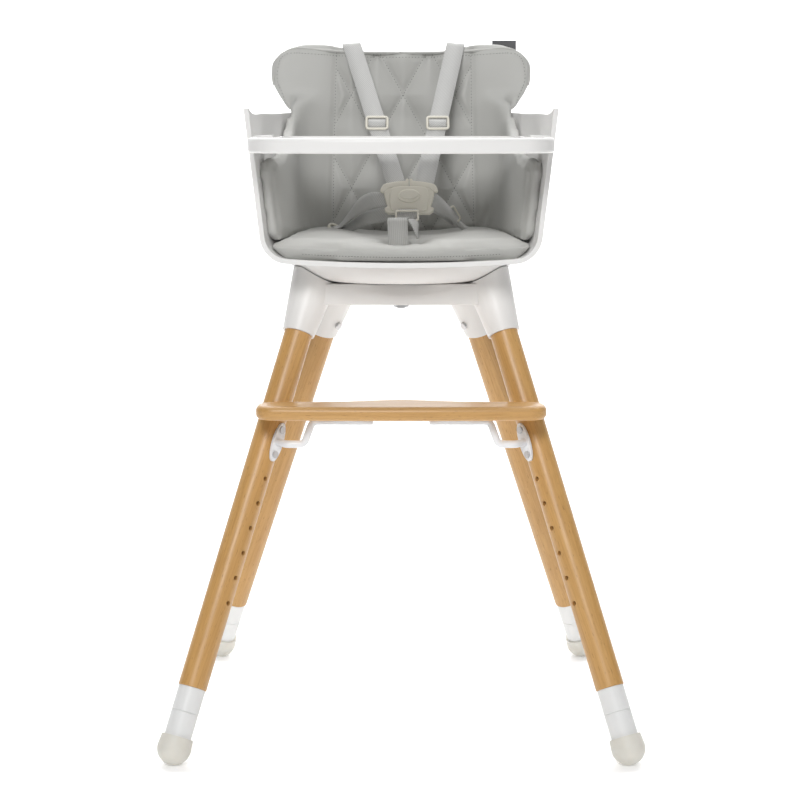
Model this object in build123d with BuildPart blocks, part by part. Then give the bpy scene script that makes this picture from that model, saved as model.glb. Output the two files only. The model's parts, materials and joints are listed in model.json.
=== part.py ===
"""Baby high chair: beech legs in a white base, a swivelling bucket seat with harness, a tray and a footrest.

Frame: millimetres, +Z up, the front faces -Y, origin on the floor at the middle of the footprint.
"left" and "right" are as seen from the front, so left is -X.
"""

import os
from math import atan2, cos, degrees, radians, sin

from build123d import *

os.makedirs("parts", exist_ok=True)

# ---- driving dimensions -------------------------------------------------------------------------
# Feet and legs: each leg runs on a straight axis from the ball centre of its foot to its socket's mouth.
BALL_R = 21.5
FOOT_FLAT = 0.5  # depth of the flat that a foot stands on
FRONT_FOOT = (285.5, -280.0, BALL_R - FOOT_FLAT)
REAR_FOOT = (271.0, 280.0, BALL_R - FOOT_FLAT)
FRONT_MOUTH = (135.0, -90.0, 526.0)
REAR_MOUTH = (110.0, 100.0, 511.0)
LEG_R = 18.25
TENON_R = 12.0
SLEEVE_R = 17.3
CAP_RIM = 14.5  # stations along a leg's axis, from the ball centre
CAP_FLOOR = -6.0
TENON_END = 25.0
SLEEVE_SPLIT = 46.5
WOOD_START = 78.6
SOCKET_DEPTH = 60.0
SOCKET_RISE = 97.0
SOCKET_MOUTH_R = 21.3
SOCKET_TOP_R = 32.6
BOLT_UP = 22.0  # socket bolt, above the mouth
BOLT_SHANK_R = 3.0
BOLT_HEAD_R = 5.2
INSERT_R = 4.6
INSERT_LENGTH = 12.0

# Footrest holes in the front legs
HOLE_R = 3.2
HOLE_DEPTH = 24.0
HOLE_FIRST = 192.5
HOLE_PITCH = 33.5
HOLE_COUNT = 8
HOLE_TURN = 50.0  # degrees from straight ahead towards the middle of the chair

# Base and swivel
PLATE_TOP = 591.0
SKIRT_BOTTOM = 563.0
PLATE_THICK = 7.0
SKIRT_WALL = 5.0
SKIRT_FRONT = (118.0, -70.0)
SKIRT_REAR = (97.0, 90.0)
SKIRT_R = 20.0
HORN_TOP = 612.5
HUB_BOTTOM = 563.0
HUB_R = 15.0
SWIVEL_Y = -10.0
DISC_FLAT_R = 104.0
DISC_R = 151.0
DISC_BOTTOM = 592.5
DISC_EDGE = 616.0
DISC_WALL = 4.0
DISC_GAP = 1.5
DISC_SETBACK = 7.0  # inside the shell's plan outline at the back
BOSS_TOP = 608.0
BOSS_R = 18.0
SCREW_CIRCLE = 86.0
PIVOT_R = 6.0

# Seat shell: a tapered tub, open at the front
TUB_LOW = (610.0, 175.0, 134.0, 87.2, 64.0)  # height, front half width, back half width, back, corner radius
TUB_HIGH = (925.0, 213.4, 167.0, 120.0, 86.0)
TUB_FRONT_Y = -155.0  # where the front half widths are measured
TUB_REACH_Y = -260.0  # how far the form runs on before the front cut
TUB_FLOOR = 618.4
TUB_CROWN_R = 2450.0
TUB_CORNER_R = 36.0
WALL = 4.2
RIM_EXTRA = 1.1
RIM_DEPTH = 6.0
RIM_CENTRE_Y = -171.0
RIM_R = 884.0  # the front edge bows forward on this radius
WING_TOP = 819.5
ARM_TOP = 811.5
BACK_TOP = 886.0
BACK_HALF = 104.0
BACK_CORNER_R = 42.0
ARM_EDGE = ((-166, WING_TOP + 1.5), (-149, WING_TOP - 0.5), (-128, ARM_TOP + 1.5), (-90, ARM_TOP),
            (0, ARM_TOP), (120, ARM_TOP + 2))  # from front to back, (Y, Z)

# Cushions
CUSHION_GAP = 0.8
SIDE_PAD = 12.0
BACK_PAD = 19.0
SEAT_TOP = 647.5
HEAD_TOP = 903.0
HEAD_DIP = 897.0
HEAD_HALF = 178.9
WAIST_HALF = 167.6
HEAD_BASE = 815.0
LINER = WALL + CUSHION_GAP
LINER_EDGE = ((-140, 728), (-118, 752), (-70, 757), (-10, 772), (40, 800), (66, 826), (130, 830))

# Harness
WEB = 25.0
WEB_THICK = 1.6
BUCKLE_AT = (10.0, -62.0, 699.0)
BUCKLE_TILT = 25.0
BUCKLE_SIZE = (46.0, 44.0, 12.0)
BUTTON_TRAVEL = 2.5
SHOULDER_TOP = {"left": (-68.0, 91.0, 906.5), "right": (75.0, 91.0, 906.5)}
SHOULDER_END = {"left": (-6.0, -47.0, 718.0), "right": (30.0, -47.0, 718.0)}
SHOULDER_BACK_Y = 119.6
ANCHOR_Z = 828.0
WAIST_ANCHOR = {"left": (-90.0, 50.0, 668.0), "right": (94.0, 50.0, 668.0)}
WAIST_END = {"left": (-16.0, -50.0, 700.0), "right": (36.0, -50.0, 700.0)}
ADJUSTER_AT = 0.425
CROTCH_FOOT = (1.0, -106.0, 616.0)
CROTCH_END = (8.0, -78.0, 671.0)

# Tray
TRAY_TOP = 783.0
TRAY_BOTTOM = 764.0
TRAY_HALF = 191.0
TRAY_NECK_HALF = 162.0
TRAY_FRONT_Y = -283.0
TRAY_SIDE_Y = -256.0
TRAY_SHOULDER_Y = -156.0
TRAY_BACK_Y = -74.0
TRAY_CORNER_R = 55.0
RAIL_HALF = 164.5
RAIL_FRONT_Y = -143.0
RAIL_BACK_Y = -90.0
TONGUE = (7.0, 770.5, 776.5)  # reach beyond the neck, bottom, top

# Footrest
BOARD_HALF = 185.5
BOARD_TOP = 444.0
BOARD_THICK = 18.0
BOARD_FRONT_Y = -214.0
BOARD_BACK_Y = -150.0
ROD_R = 4.8
ROD_Y = -172.0
ROD_END = 36.0
MOUNT_PLATE = (52.0, 19.0, 3.0)

SIDES = (("left", -1.0), ("right", 1.0))


def write(part, name):
    """Labels a finished piece and writes its STEP file."""
    part.label = name
    export_step(part, f"parts/{name}.step")


def leg_line(foot, mouth, side):
    """The plane at a foot's ball centre, normal up the leg, with its x axis towards the footrest holes."""
    start = Vector(foot[0] * side, foot[1], foot[2])
    up = (Vector(mouth[0] * side, mouth[1], mouth[2]) - start).normalized()
    ahead = Vector(-side * sin(radians(HOLE_TURN)), -cos(radians(HOLE_TURN)), 0)
    return Plane(origin=start, x_dir=ahead - up * ahead.dot(up), z_dir=up)


def leg_length(foot, mouth):
    """Ball centre to socket mouth, along the axis."""
    return (Vector(*mouth) - Vector(*foot)).length


LEGS = {}
for side_name, side in SIDES:
    for end_name, foot, mouth in (("front", FRONT_FOOT, FRONT_MOUTH), ("rear", REAR_FOOT, REAR_MOUTH)):
        LEGS[f"{end_name}_{side_name}"] = (leg_line(foot, mouth, side), leg_length(foot, mouth))


def across(line, station, turn=0.0):
    """A plane at a station on a leg's axis, its normal square to the axis, turned from the hole side."""
    turned = line.rotated((0, 0, turn))
    return Plane(origin=line.origin + line.z_dir * station, x_dir=line.z_dir, z_dir=turned.x_dir)


def inward_turn(line):
    """The turn from the hole side to the side that faces the chair's middle."""
    to_middle = Vector(0, 0, 0) - Vector(line.origin.X, line.origin.Y, 0)
    local = line.to_local_coords(line.origin + to_middle)
    return degrees(atan2(local.Y, local.X))


def bolt_plane(line, length):
    """The plane of a socket bolt, its normal towards the chair's middle."""
    return across(line, length + BOLT_UP, inward_turn(line))


def cone_section(line, length):
    """The half section of a socket's cone on the plane through a leg's axis."""
    start = line.origin + line.z_dir * length
    return Plane(origin=start, x_dir=line.x_dir, z_dir=line.x_dir.cross(line.z_dir))


# ---- legs and feet ------------------------------------------------------------------------------
for leg_name, (line, length) in LEGS.items():
    with BuildPart() as leg:
        with BuildSketch(line.offset(WOOD_START)):
            Circle(LEG_R)
        extrude(amount=length + SOCKET_DEPTH - 1.0 - WOOD_START)
        chamfer(leg.edges().filter_by(GeomType.CIRCLE), 0.8)
        with BuildSketch(line.offset(TENON_END)):
            Circle(TENON_R)
        extrude(amount=WOOD_START - TENON_END)
        if leg_name.startswith("front"):
            for hole in range(HOLE_COUNT):
                with BuildSketch(across(line, HOLE_FIRST + hole * HOLE_PITCH).offset(LEG_R - HOLE_DEPTH)):
                    Circle(HOLE_R)
                extrude(amount=HOLE_DEPTH + 2, mode=Mode.SUBTRACT)
        with BuildSketch(bolt_plane(line, length).offset(LEG_R - INSERT_LENGTH - 0.5)):
            Circle(INSERT_R)
        extrude(amount=INSERT_LENGTH + BOLT_UP, mode=Mode.SUBTRACT)
    write(leg.part, f"leg_{leg_name}")

    with BuildPart() as sleeve:
        with BuildSketch(line.offset(SLEEVE_SPLIT)):
            Circle(SLEEVE_R)
            Circle(TENON_R + 0.05, mode=Mode.SUBTRACT)
        extrude(amount=WOOD_START - SLEEVE_SPLIT - 0.1)
        chamfer(sleeve.edges().filter_by(GeomType.CIRCLE).sort_by(SortBy.RADIUS)[-2:], 0.5)
    write(sleeve.part, f"leg_sleeve_{leg_name}")

    with BuildPart() as end:
        with BuildSketch(line.offset(CAP_FLOOR + 0.1)):
            Circle(SLEEVE_R)
        extrude(amount=SLEEVE_SPLIT - CAP_FLOOR - 0.2)
        chamfer(end.edges().filter_by(GeomType.CIRCLE), 0.5)
        with BuildSketch(line.offset(TENON_END - 1.0)):
            Circle(TENON_R + 0.05)
        extrude(amount=SLEEVE_SPLIT - TENON_END + 1.0, mode=Mode.SUBTRACT)
    write(end.part, f"leg_end_{leg_name}")

    with BuildPart() as cap:
        with BuildSketch(cone_section(line, 0)):
            with BuildLine():
                Line((0, CAP_RIM), (20.3, CAP_RIM))
                Line((20.3, CAP_RIM), (BALL_R, 0))
                CenterArc((0, 0), BALL_R, -90, 90)
                Line((0, -BALL_R), (0, CAP_RIM))
            make_face()
        revolve(axis=Axis(line.origin, line.z_dir))
        with BuildSketch(line.offset(CAP_FLOOR)):
            Circle(SLEEVE_R + 0.05)
        extrude(amount=CAP_RIM - CAP_FLOOR + 1, mode=Mode.SUBTRACT)
        with BuildSketch(Plane.XY):
            with Locations((line.origin.X, line.origin.Y)):
                Rectangle(60, 60)
        extrude(amount=-5, mode=Mode.SUBTRACT)
    write(cap.part, f"foot_cap_{leg_name}")

with BuildPart() as bolts:
    for line, length in LEGS.values():
        plane = bolt_plane(line, length)
        with BuildSketch(plane.offset(LEG_R - INSERT_LENGTH)):
            Circle(BOLT_SHANK_R)
        extrude(amount=INSERT_LENGTH + 7.0)
        with BuildSketch(plane.offset(LEG_R + 6.2)):
            Circle(BOLT_HEAD_R)
        extrude(amount=3.6)
    chamfer(bolts.edges().filter_by(GeomType.CIRCLE).filter_by(lambda e: e.radius > BOLT_SHANK_R), 0.6)
write(bolts.part, "socket_bolts")

with BuildPart() as inserts:
    for line, length in LEGS.values():
        with BuildSketch(bolt_plane(line, length).offset(LEG_R - INSERT_LENGTH - 0.4)):
            Circle(INSERT_R - 0.02)
            Circle(BOLT_SHANK_R + 0.02, mode=Mode.SUBTRACT)
        extrude(amount=INSERT_LENGTH)
write(inserts.part, "leg_thread_inserts")


# ---- base ---------------------------------------------------------------------------------------
def skirt_outline(radius):
    """The rounded four-cornered outline of the base, drawn at the bottom of its skirt."""
    with BuildSketch(Plane.XY.offset(SKIRT_BOTTOM)) as outline:
        for x, y in (SKIRT_FRONT, SKIRT_REAR):
            with Locations((-x, y), (x, y)):
                Circle(radius)
        make_hull()
    return outline.sketch


def disc_profile(grow, top):
    """The swivel disc's half section, made larger by a clearance."""
    with BuildSketch(Plane.XZ.offset(-SWIVEL_Y)) as profile:
        with BuildLine():
            Line((0, DISC_BOTTOM - grow), (DISC_FLAT_R, DISC_BOTTOM - grow))
            TangentArc((DISC_FLAT_R, DISC_BOTTOM - grow), (DISC_R + grow, DISC_EDGE), tangent=(1, 0))
            Polyline((DISC_R + grow, DISC_EDGE), (DISC_R + grow, top), (0, top), (0, DISC_BOTTOM - grow))
        make_face()
    return profile.sketch


SWIVEL_AXIS = Axis((0, SWIVEL_Y, 0), (0, 0, 1))
SWIVEL_PLANE = Plane.XY.move(Location((0, SWIVEL_Y, 0)))

with BuildPart() as base_frame:
    extrude(skirt_outline(SKIRT_R), amount=PLATE_TOP - SKIRT_BOTTOM)
    fillet(base_frame.edges().group_by(Axis.Z)[-1], 2.0)
    fillet(base_frame.edges().group_by(Axis.Z)[0], 1.5)
    hollow = PLATE_TOP - PLATE_THICK - SKIRT_BOTTOM
    extrude(skirt_outline(SKIRT_R - SKIRT_WALL), amount=hollow, mode=Mode.SUBTRACT)
    for line, length in LEGS.values():
        with BuildSketch(cone_section(line, length)):
            cone = ((0, 0), (SOCKET_MOUTH_R, 0), (SOCKET_TOP_R, SOCKET_RISE), (0, SOCKET_RISE))
            Polygon(*cone, align=None)
        revolve(axis=Axis(line.origin, line.z_dir))
    with BuildSketch(SWIVEL_PLANE.offset(HUB_BOTTOM)):
        Circle(HUB_R)
    extrude(amount=PLATE_TOP - 1.0 - HUB_BOTTOM)
    with BuildSketch(Plane.XY.offset(HORN_TOP)):
        Rectangle(500, 500)
    extrude(amount=60, mode=Mode.SUBTRACT)
    revolve(disc_profile(DISC_GAP, HORN_TOP + 20), axis=SWIVEL_AXIS, mode=Mode.SUBTRACT)
    for line, length in LEGS.values():
        with BuildSketch(line.offset(length - 1.0)):
            Circle(LEG_R + 0.1)
        extrude(amount=SOCKET_DEPTH + 1.0, mode=Mode.SUBTRACT)
        with BuildSketch(bolt_plane(line, length).offset(LEG_R - 2.0)):
            Circle(BOLT_SHANK_R + 0.1)
        extrude(amount=20, mode=Mode.SUBTRACT)
        with BuildSketch(bolt_plane(line, length).offset(LEG_R + 6.1)):
            Circle(BOLT_HEAD_R + 0.6)
        extrude(amount=14, mode=Mode.SUBTRACT)
    with BuildSketch(SWIVEL_PLANE.offset(HUB_BOTTOM - 1)):
        Circle(PIVOT_R + 0.05)
    extrude(amount=60, mode=Mode.SUBTRACT)
write(base_frame.part, "base_frame")

with BuildPart() as glide_ring:
    with BuildSketch(SWIVEL_PLANE.offset(PLATE_TOP)):
        Circle(92.0)
        Circle(70.0, mode=Mode.SUBTRACT)
    extrude(amount=DISC_BOTTOM - 0.3 - PLATE_TOP)
write(glide_ring.part, "swivel_glide_ring")

with BuildPart() as pivot_bolt:
    with BuildSketch(SWIVEL_PLANE.offset(BOSS_TOP + 2.3)):
        RegularPolygon(radius=10.4, side_count=6)
    extrude(amount=6.5)
    with BuildSketch(SWIVEL_PLANE.offset(BOSS_TOP + 2.3)):
        Circle(PIVOT_R)
    extrude(amount=-(BOSS_TOP + 2.3 - HUB_BOTTOM + 10.5))
write(pivot_bolt.part, "swivel_bolt")

with BuildPart() as pivot_washers:
    for level in (BOSS_TOP + 0.3, HUB_BOTTOM - 2.0):
        with BuildSketch(SWIVEL_PLANE.offset(level)):
            Circle(12.0)
            Circle(PIVOT_R + 0.05, mode=Mode.SUBTRACT)
        extrude(amount=1.98)
write(pivot_washers.part, "swivel_washers")

with BuildPart() as pivot_nut:
    with BuildSketch(SWIVEL_PLANE.offset(HUB_BOTTOM - 9.0)):
        RegularPolygon(radius=10.4, side_count=6)
        Circle(PIVOT_R + 0.02, mode=Mode.SUBTRACT)
    extrude(amount=6.95)
write(pivot_nut.part, "swivel_lock_nut")


# ---- seat shell ---------------------------------------------------------------------------------
def tub_outline(section, inset, back_extra):
    """The plan outline of the tub at one height, drawn in by an inset, and more at the back."""
    height, front_half, back_half, back, corner = section
    slope = (front_half - back_half) / (back - TUB_FRONT_Y)
    reach = front_half + slope * (TUB_FRONT_Y - TUB_REACH_Y) - inset
    back_half = back_half - inset + slope * back_extra
    back = back - inset - back_extra
    with BuildSketch(Plane.XY.offset(height)) as outline:
        ahead = TUB_REACH_Y
        Polygon((reach, ahead), (back_half, back), (-back_half, back), (-reach, ahead), align=None)
        fillet(outline.vertices().group_by(Axis.Y)[-1], corner - inset)
    return outline.sketch


def above_floor(inset):
    """A tall block whose underside is the tub's crowned floor, raised by an inset."""
    side = 300.0
    sag = TUB_CROWN_R - (TUB_CROWN_R ** 2 - side ** 2) ** 0.5
    floor = TUB_FLOOR + inset
    with BuildPart() as block:
        with BuildSketch(Plane.XZ):
            with BuildLine():
                ThreePointArc((-side, floor + sag), (0, floor), (side, floor + sag))
                Polyline((side, floor + sag), (side, 1e3), (-side, 1e3), (-side, floor + sag))
            make_face()
        extrude(amount=400, both=True)
    return block.part


def tub_form(inset, back_extra=0.0):
    """The tub as a full solid, from its outside drawn in by an inset."""
    floor_block = above_floor(inset)
    low = tub_outline(TUB_LOW, inset, back_extra)
    high = tub_outline(TUB_HIGH, inset, back_extra)
    with BuildPart() as form:
        loft([low, high])
        add(floor_block, mode=Mode.INTERSECT)
        bottom = form.faces().sort_by(Axis.Z)[0]
        fillet(bottom.edges().sort_by(Axis.Y)[1:], TUB_CORNER_R - inset)
    return form.part


def behind_front(setback):
    """Everything behind the tub's bowed front edge, moved back by a distance."""
    side = 300.0
    sag = RIM_R - (RIM_R ** 2 - side ** 2) ** 0.5
    edge = RIM_CENTRE_Y + setback
    with BuildPart() as block:
        with BuildSketch():
            with BuildLine():
                ThreePointArc((-side, edge + sag), (0, edge), (side, edge + sag))
                Polyline((side, edge + sag), (side, 400), (-side, 400), (-side, edge + sag))
            make_face()
        extrude(amount=1000)
    return block.part


def below_edge(points, ahead):
    """Everything below a smooth top edge seen from the side, its points given from front to back."""
    back = 400.0
    with BuildPart() as block:
        with BuildSketch(Plane.YZ):
            with BuildLine():
                top = Spline(*points)
                low, first, last = 400.0, points[0][1], points[-1][1]
                Polyline(top @ 1, (back, last), (back, low), (ahead, low), (ahead, first), top @ 0)
            make_face()
        extrude(amount=300, both=True)
    return block.part


def raised_back(grow):
    """The upright panel of the backrest that stands above the arms."""
    with BuildPart() as block:
        with BuildSketch(Plane.XZ.offset(-80 + grow)):
            with Locations((0, BACK_TOP - 100)):
                RectangleRounded(2 * (BACK_HALF + grow), 200 + 2 * grow, BACK_CORNER_R)
        extrude(amount=-100)
    return block.part


outside = tub_form(0)
inside = tub_form(WALL)
rim_band = tub_form(-RIM_EXTRA) - tub_form(WALL + RIM_EXTRA)
kept_height = below_edge(ARM_EDGE, -300) + raised_back(0)

with BuildPart() as seat_shell:
    add(outside)
    add(inside, mode=Mode.SUBTRACT)
    add(kept_height, mode=Mode.INTERSECT)
    add(behind_front(2.0), mode=Mode.INTERSECT)
    add((rim_band & below_edge(ARM_EDGE, -300) & behind_front(0)) - behind_front(RIM_DEPTH))
    with BuildSketch(Plane.XY.offset(TUB_FLOOR - 10)):
        with Locations((CROTCH_FOOT[0], CROTCH_FOOT[1] + 2.5)):
            SlotOverall(WEB + 12, 9)
    extrude(amount=30, mode=Mode.SUBTRACT)
    with BuildSketch(SWIVEL_PLANE.offset(TUB_FLOOR - 5)):
        with PolarLocations(SCREW_CIRCLE, 4, start_angle=45):
            Circle(2.55)
    extrude(amount=8.4, mode=Mode.SUBTRACT)
write(seat_shell.part, "seat_shell")


def disc_form(inset):
    """The round dish under the shell, trimmed to the shell's plan, drawn in by an inset."""
    with BuildPart() as form:
        revolve(disc_profile(-inset, DISC_EDGE + 6), axis=SWIVEL_AXIS)
        extrude(tub_outline(TUB_LOW, DISC_SETBACK + inset, 0), amount=60, both=True, mode=Mode.INTERSECT)
    return form.part


dish_space = disc_form(DISC_WALL)
with BuildPart() as disc:
    add(disc_form(0))
    add(dish_space, mode=Mode.SUBTRACT)
    with BuildSketch(SWIVEL_PLANE.offset(DISC_BOTTOM + 1)):
        Circle(BOSS_R)
    extrude(amount=BOSS_TOP - DISC_BOTTOM - 1)
    with BuildSketch(SWIVEL_PLANE.offset(DISC_BOTTOM + 1)):
        with PolarLocations(SCREW_CIRCLE, 4, start_angle=45):
            Circle(7)
    extrude(amount=DISC_EDGE + 5 - DISC_BOTTOM)
    with BuildSketch(SWIVEL_PLANE.offset(DISC_BOTTOM - 1)):
        Circle(PIVOT_R + 0.3)
        with PolarLocations(SCREW_CIRCLE, 4, start_angle=45):
            Circle(2.6)
    extrude(amount=40, mode=Mode.SUBTRACT)
    with BuildSketch(SWIVEL_PLANE.offset(DISC_BOTTOM - 1)):
        with PolarLocations(SCREW_CIRCLE, 4, start_angle=45):
            Circle(5.6)
    extrude(amount=4.2, mode=Mode.SUBTRACT)
    add(outside, mode=Mode.SUBTRACT)
write(disc.part, "swivel_disc")

with BuildPart() as disc_screws:
    with BuildSketch(SWIVEL_PLANE.offset(DISC_BOTTOM + 0.6)):
        with PolarLocations(SCREW_CIRCLE, 4, start_angle=45):
            Circle(5.2)
    extrude(amount=2.5)
    with BuildSketch(SWIVEL_PLANE.offset(DISC_BOTTOM + 0.6)):
        with PolarLocations(SCREW_CIRCLE, 4, start_angle=45):
            Circle(2.5)
    extrude(amount=TUB_FLOOR + 2.6 - DISC_BOTTOM)
write(disc_screws.part, "shell_screws")

# ---- cushions -----------------------------------------------------------------------------------
liner_inner = tub_form(LINER + SIDE_PAD, BACK_PAD - SIDE_PAD)
back_lean = (TUB_HIGH[3] - TUB_LOW[3]) / (TUB_HIGH[0] - TUB_LOW[0])
head_back = TUB_LOW[3] + back_lean * (HEAD_BASE - TUB_LOW[0]) - LINER - 5.5
head_plane = Plane(origin=(0, head_back, HEAD_BASE), x_dir=(1, 0, 0), z_dir=(0, -1, back_lean))

with BuildPart() as back_cushion:
    add(tub_form(LINER))
    add(liner_inner, mode=Mode.SUBTRACT)
    add(below_edge(LINER_EDGE, -300), mode=Mode.INTERSECT)
    with BuildSketch(Plane.YZ):
        with Locations((-134 + 200, SEAT_TOP + 0.6 + 200)):
            RectangleRounded(400, 400, 20)
    extrude(amount=300, both=True, mode=Mode.INTERSECT)
    with BuildSketch(head_plane):
        with BuildLine():
            half = Spline((0, HEAD_DIP - HEAD_BASE), (60, HEAD_DIP + 1 - HEAD_BASE),
                          (148, HEAD_TOP - HEAD_BASE), (174, 70), (HEAD_HALF, 48), (172, 24), (WAIST_HALF, 2))
            Polyline(half @ 1, (150, 0.5), (0, 0.5))
            mirror(about=Plane.YZ)
        make_face()
    extrude(amount=BACK_PAD - 2)
write(back_cushion.part, "back_cushion")

with BuildPart() as seat_cushion:
    add(tub_form(LINER))
    with BuildSketch(Plane.XY.offset(SEAT_TOP)):
        Rectangle(800, 800)
    extrude(amount=400, mode=Mode.SUBTRACT)
    add(behind_front(17.0), mode=Mode.INTERSECT)
    with BuildSketch(Plane.XY.offset(TUB_FLOOR)):
        with Locations((CROTCH_FOOT[0] + 4, CROTCH_FOOT[1] + 9)):
            Rectangle(WEB + 14, 20)
    extrude(amount=60, mode=Mode.SUBTRACT)
write(seat_cushion.part, "seat_cushion")

with BuildPart() as tag:
    with BuildSketch(Plane.XZ.offset(-107.6)):
        with Locations((142, 905)):
            RectangleRounded(33, 13, 1)
    extrude(amount=-1.2)
write(tag.part, "cushion_tag")


# ---- harness ------------------------------------------------------------------------------------
def webbing(points, across_dir, thickness=WEB_THICK, width=WEB):
    """A flat strap along straight runs between points, its width along a direction square to each run."""
    with BuildPart() as strap:
        for start, stop in zip(points, points[1:]):
            run = Vector(*stop) - Vector(*start)
            wide = Vector(*across_dir)
            wide = (wide - run.normalized() * wide.dot(run.normalized())).normalized()
            with BuildSketch(Plane(origin=start, x_dir=wide, z_dir=run)):
                Rectangle(width, thickness)
            extrude(amount=run.length + thickness / 3)
    return strap.part


tilt = radians(BUCKLE_TILT)
buckle_plane = Plane(origin=BUCKLE_AT, x_dir=(1, 0, 0), z_dir=(0, -cos(tilt), sin(tilt)))
wide, tall, deep = BUCKLE_SIZE

for side_name, side in SIDES:
    top = SHOULDER_TOP[side_name]
    end = SHOULDER_END[side_name]
    drop = 88.0
    behind = (top[0], SHOULDER_BACK_Y, top[2])
    route = [end, top, behind, (top[0], SHOULDER_BACK_Y - back_lean * drop, top[2] - drop)]
    write(webbing(route, (1, 0, 0)), f"shoulder_strap_{side_name}")

    with BuildPart() as anchor:
        with BuildSketch(Plane.XZ.offset(-SHOULDER_BACK_Y + 6)):
            with Locations((top[0], ANCHOR_Z - 22)):
                RectangleRounded(WEB + 12, 20, 4)
        extrude(amount=10.0)
        add(outside, mode=Mode.SUBTRACT)
    write(anchor.part, f"shoulder_anchor_{side_name}")

    run = Vector(*top) - Vector(*end)
    middle = Vector(*end) + run * ADJUSTER_AT
    along = run.normalized()
    facing = Plane(origin=middle, x_dir=Vector(1, 0, 0) - along * along.X, z_dir=Vector(1, 0, 0).cross(run))
    with BuildPart() as adjuster:
        with BuildSketch(facing.offset(WEB_THICK / 2 + 0.5)):
            RectangleRounded(WEB + 6, 22, 3.5)
            RectangleRounded(WEB - 2, 14, 1.5, mode=Mode.SUBTRACT)
        extrude(amount=2.6)
        with BuildSketch(facing.offset(WEB_THICK / 2 + 2.3)):
            Rectangle(WEB - 1.5, 4)
        extrude(amount=-0.9)
        for edge in (-1, 1):
            with BuildSketch(facing.offset(WEB_THICK / 2 + 0.6)):
                with Locations((edge * (WEB / 2 + 1.8), 0)):
                    Rectangle(2.0, 14)
            extrude(amount=-(WEB_THICK + 2.6))
        with BuildSketch(facing.offset(-WEB_THICK / 2 - 0.5)):
            Rectangle(WEB + 5.6, 3.2)
        extrude(amount=-1.6)
    write(adjuster.part, f"shoulder_adjuster_{side_name}")

    belt = webbing([WAIST_END[side_name], WAIST_ANCHOR[side_name]], (0, 0.35, 1), WEB_THICK, 22.0)
    write(belt, f"waist_strap_{side_name}")
    with BuildPart() as waist_anchor:
        x, y, z = WAIST_ANCHOR[side_name]
        with BuildSketch(Plane(origin=(x + side * 2, y + 4.2, z), x_dir=(1, 0, 0), z_dir=(0, -1, 0))):
            RectangleRounded(12, 28, 3)
        extrude(amount=-3.0)
    write(waist_anchor.part, f"waist_anchor_{side_name}")

    with BuildPart() as tongue:
        with BuildSketch(buckle_plane.offset(-1.5)):
            with Locations((side * (wide / 2 + 1), 2)):
                RectangleRounded(22, 34, 5)
        extrude(amount=3.0)
    write(tongue.part, f"buckle_tongue_{side_name}")

with BuildPart() as crotch_strap:
    add(webbing([CROTCH_FOOT, CROTCH_END], (1, 0, 0)))
write(crotch_strap.part, "crotch_strap")

with BuildPart() as crotch_bar:
    with BuildSketch(Plane.XY.offset(CROTCH_FOOT[2] - 4.2)):
        with Locations((CROTCH_FOOT[0], CROTCH_FOOT[1])):
            Rectangle(WEB + 14, 5)
    extrude(amount=2.4)
write(crotch_bar.part, "crotch_strap_bar")

with BuildPart() as slider:
    slider_plane = Plane(origin=CROTCH_END, x_dir=(1, 0, 0), z_dir=(0, -0.9, 0.43))
    with BuildSketch(slider_plane.offset(WEB_THICK / 2 + 0.8)):
        RectangleRounded(WEB + 7, 14, 3)
        RectangleRounded(WEB - 3, 6.5, 1.5, mode=Mode.SUBTRACT)
    extrude(amount=3.0)
write(slider.part, "crotch_slider")

with BuildPart() as waist_slider:
    low, high = Vector(*WAIST_ANCHOR["right"]), Vector(*WAIST_END["right"])
    place = low + (high - low) * 0.62
    facing = Plane(origin=place, x_dir=high - low, z_dir=Vector(0, 0.35, 1).cross(high - low))
    with BuildSketch(facing.offset(1.0)):
        RectangleRounded(18, 29, 2.5)
        RectangleRounded(10, 21, 1.2, mode=Mode.SUBTRACT)
    extrude(amount=2.4)
    with BuildSketch(facing.offset(1.0)):
        Rectangle(3, 24)
    extrude(amount=2.0)
write(waist_slider.part, "waist_slider_right")

with BuildPart() as buckle_front:
    with BuildSketch(buckle_plane.offset(1.6)):
        RectangleRounded(wide, tall, 12)
    extrude(amount=deep / 2)
    fillet(buckle_front.faces().sort_by(Axis(buckle_plane.origin, buckle_plane.z_dir))[-1].edges(), 3.0)
    with BuildSketch(buckle_plane.offset(1.5)):
        with Locations((0, -1)):
            Ellipse(15, 10)
    extrude(amount=20, mode=Mode.SUBTRACT)
write(buckle_front.part, "buckle_front_cover")

with BuildPart() as buckle_back:
    with BuildSketch(buckle_plane.offset(-1.6)):
        RectangleRounded(wide, tall, 12)
    extrude(amount=-deep / 2 + 2)
    fillet(buckle_back.faces().sort_by(Axis(buckle_plane.origin, buckle_plane.z_dir))[0].edges(), 2.0)
write(buckle_back.part, "buckle_back_cover")

with BuildPart() as button:
    with BuildSketch(buckle_plane.offset(1.6 + BUTTON_TRAVEL + 0.3)):
        with Locations((0, -1)):
            Ellipse(14.6, 9.6)
    extrude(amount=5.4)
    fillet(button.faces().sort_by(Axis(buckle_plane.origin, buckle_plane.z_dir))[-1].edges(), 1.6)
write(button.part, "buckle_button")

with BuildPart() as button_spring:
    with BuildSketch(buckle_plane.offset(1.6)):
        with Locations((0, -1)):
            Circle(4.0)
            Circle(3.2, mode=Mode.SUBTRACT)
    extrude(amount=BUTTON_TRAVEL * 0.1 + 0.05)
write(button_spring.part, "buckle_spring")


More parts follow.
